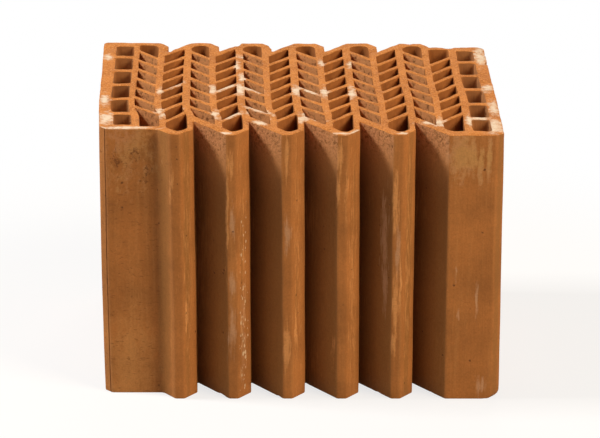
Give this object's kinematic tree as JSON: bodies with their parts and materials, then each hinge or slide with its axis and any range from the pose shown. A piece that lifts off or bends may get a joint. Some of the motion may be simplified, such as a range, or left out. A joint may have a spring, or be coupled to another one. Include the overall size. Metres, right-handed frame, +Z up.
{
  "type": "hollow clay block",
  "caption": "Fired clay wall block with upright herringbone slots, edge cells and toothed ends that leave room for the next block's teeth.",
  "frame": {"origin": "middle of the block's box, on the bed face that it stands on", "axes": "+X across the wall, over the plain side faces; +Y along the wall, from the front teeth to the back teeth; +Z up the cells"},
  "size_m": [0.35, 0.264, 0.245],
  "materials": {
    "fired_clay": "unglazed fired clay, matte"
  },
  "bodies": {
    "root": {"clay_block": "fired_clay"}
  },
  "joints": []
}
